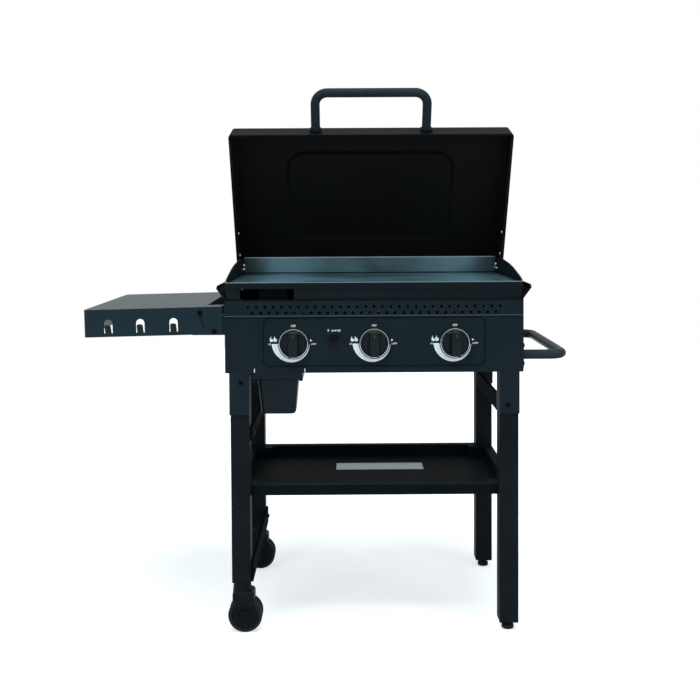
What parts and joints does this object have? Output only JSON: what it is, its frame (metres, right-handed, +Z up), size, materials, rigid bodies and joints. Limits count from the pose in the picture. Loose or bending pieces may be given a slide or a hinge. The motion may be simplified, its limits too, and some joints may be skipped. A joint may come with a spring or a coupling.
{
  "type": "outdoor gas griddle station",
  "caption": "Outdoor gas griddle on a cart: open hinged lid, flat cooking plate with raised walls, turning knobs, grease cup, folding side shelf, push handle, lower tray, casters and feet",
  "frame": {"origin": "on the ground, below the middle of the whole part's box, lid open and shelf up", "axes": "+X to the push handle, -Y to the front with the knobs, +Z up"},
  "size_m": [1.1896, 0.541, 1.3545],
  "materials": {
    "black_coat": "satin black powder coat",
    "moulded_black": "black moulding",
    "bezel_chrome": "bright plated",
    "brass": "machined brass",
    "knob_plastic": "satin black moulding",
    "plain_steel": "plain sheet and tube steel",
    "ceramic_white": "glazed ceramic",
    "griddle_steel": "oiled blue-grey rolled steel",
    "zinc_bolts": "zinc plated",
    "black_screws": "black oxide",
    "wheel_rubber": "grey-black tread on a moulded core"
  },
  "bodies": {
    "cart": {"leg_front_left": "black_coat", "leg_front_right": "black_coat", "leg_rear_left": "black_coat", "leg_rear_right": "black_coat", "leg_end_plugs": "moulded_black", "leg_sleeves": "black_coat", "rail_right_upper": "black_coat", "rail_left_upper": "black_coat", "rail_left_lower": "black_coat", "storage_tray": "black_coat", "body_side_right": "black_coat", "body_side_left": "black_coat", "control_panel": "black_coat", "knob_bezels": "bezel_chrome", "valve_bodies": "brass", "igniter_housing": "knob_plastic", "gas_manifold": "plain_steel", "gas_supply_pipe": "plain_steel", "gas_inlet_fitting": "brass", "burner_tube_1": "plain_steel", "burner_tube_2": "plain_steel", "burner_tube_3": "plain_steel", "burner_rest": "plain_steel", "spark_electrodes": "ceramic_white", "back_panel": "black_coat", "heat_shield": "plain_steel", "front_plate_rail": "black_coat", "rear_plate_rail": "black_coat", "grease_chute": "black_coat", "push_handle": "black_coat", "shelf_brackets": "black_coat", "shelf_pivot_screws": "black_screws", "cup_holder": "black_coat", "frame_screws": "black_screws"},
    "cooktop": {"griddle_plate": "griddle_steel", "hinge_brackets": "plain_steel", "hinge_bolts": "zinc_bolts"},
    "lid": {"lid_shell": "black_coat", "lid_handle": "black_coat", "lid_handle_collars": "black_coat", "lid_hinge_arms": "black_coat", "lid_bolts": "zinc_bolts"},
    "igniter": {"igniter_button": "knob_plastic"},
    "cup": {"grease_cup": "black_coat"},
    "shelf": {"side_shelf": "black_coat", "shelf_lock_screws": "black_screws"},
    "stem_1": {"valve_stem_1": "brass"},
    "knob_1": {"knob_1": "knob_plastic"},
    "stem_2": {"valve_stem_2": "brass"},
    "knob_2": {"knob_2": "knob_plastic"},
    "stem_3": {"valve_stem_3": "brass"},
    "knob_3": {"knob_3": "knob_plastic"},
    "caster_front": {"caster_hood_front": "moulded_black", "caster_axle_front": "zinc_bolts"},
    "wheels_front": {"caster_wheels_front": "wheel_rubber"},
    "foot_front": {"levelling_foot_front": "moulded_black"},
    "caster_rear": {"caster_hood_rear": "moulded_black", "caster_axle_rear": "zinc_bolts"},
    "wheels_rear": {"caster_wheels_rear": "wheel_rubber"},
    "foot_rear": {"levelling_foot_rear": "moulded_black"}
  },
  "joints": [
    {"name": "plate_lift", "type": "slide", "parent": "cart", "child": "cooktop", "axis": [0, 0, 1], "range_m": [0, 0.1]},
    {"name": "lid_hinge", "type": "hinge", "parent": "cooktop", "child": "lid", "pos_m": [0.11285, 0.154, 0.885], "axis": [-1, 0, 0], "range_deg": [-62.5, 30]},
    {"name": "valve_turn_1", "type": "hinge", "parent": "cart", "child": "stem_1", "pos_m": [-0.08435, -0.2365, 0.713], "axis": [0, -1, 0], "range_deg": [0, 270]},
    {"name": "knob_push_1", "type": "slide", "parent": "stem_1", "child": "knob_1", "axis": [0, 1, 0], "range_m": [0, 0.004], "stiffness_N_per_m": 800, "springref_m": -0.002},
    {"name": "valve_turn_2", "type": "hinge", "parent": "cart", "child": "stem_2", "pos_m": [0.11285, -0.2365, 0.713], "axis": [0, -1, 0], "range_deg": [0, 270]},
    {"name": "knob_push_2", "type": "slide", "parent": "stem_2", "child": "knob_2", "axis": [0, 1, 0], "range_m": [0, 0.004], "stiffness_N_per_m": 800, "springref_m": -0.002},
    {"name": "valve_turn_3", "type": "hinge", "parent": "cart", "child": "stem_3", "pos_m": [0.31005, -0.2365, 0.713], "axis": [0, -1, 0], "range_deg": [0, 270]},
    {"name": "knob_push_3", "type": "slide", "parent": "stem_3", "child": "knob_3", "axis": [0, 1, 0], "range_m": [0, 0.004], "stiffness_N_per_m": 800, "springref_m": -0.002},
    {"name": "igniter_push", "type": "slide", "parent": "cart", "child": "igniter", "axis": [0, 1, 0], "range_m": [0, 0.005], "stiffness_N_per_m": 600, "springref_m": -0.002},
    {"name": "cup_slide", "type": "slide", "parent": "cart", "child": "cup", "axis": [0, -1, 0], "range_m": [0, 0.12]},
    {"name": "shelf_fold", "type": "hinge", "parent": "cart", "child": "shelf", "pos_m": [-0.27645, -0.236, 0.7447], "axis": [0, -1, 0], "range_deg": [0, 90]},
    {"name": "caster_swivel_front", "type": "hinge", "parent": "cart", "child": "caster_front", "pos_m": [-0.21615, -0.213, 0.102], "axis": [0, 0, 1], "continuous": true},
    {"name": "wheel_roll_front", "type": "hinge", "parent": "caster_front", "child": "wheels_front", "pos_m": [-0.20815, -0.213, 0.042], "axis": [0, 1, 0], "continuous": true},
    {"name": "foot_screw_front", "type": "hinge", "parent": "cart", "child": "foot_front", "pos_m": [0.44185, -0.213, 0], "axis": [0, 0, 1], "continuous": true},
    {"name": "caster_swivel_rear", "type": "hinge", "parent": "cart", "child": "caster_rear", "pos_m": [-0.21615, 0.223, 0.102], "axis": [0, 0, 1], "continuous": true},
    {"name": "wheel_roll_rear", "type": "hinge", "parent": "caster_rear", "child": "wheels_rear", "pos_m": [-0.20815, 0.223, 0.042], "axis": [0, 1, 0], "continuous": true},
    {"name": "foot_screw_rear", "type": "hinge", "parent": "cart", "child": "foot_rear", "pos_m": [0.44185, 0.223, 0], "axis": [0, 0, 1], "continuous": true}
  ]
}
